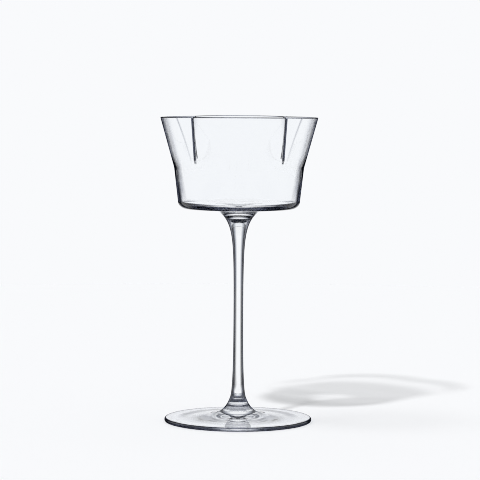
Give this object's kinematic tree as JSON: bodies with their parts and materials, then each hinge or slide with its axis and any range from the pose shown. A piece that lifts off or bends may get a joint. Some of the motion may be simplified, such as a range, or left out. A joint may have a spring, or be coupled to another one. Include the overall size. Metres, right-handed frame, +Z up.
{
  "type": "cocktail coupe",
  "caption": "Clear glass cocktail coupe with a petal-lobed, creased bowl on a slender drawn stem and a round foot.",
  "frame": {"origin": "on the glass's axis, in the plane the foot stands on", "axes": "+Z up along the stem, with one petal of the rim towards each of +X, -X, +Y and -Y; the picture looks along +Y"},
  "size_m": [0.09, 0.09, 0.175],
  "materials": {
    "clear_glass": "clear, fire-polished"
  },
  "bodies": {
    "root": {"bowl": "clear_glass", "stem": "clear_glass", "foot": "clear_glass"}
  },
  "joints": []
}
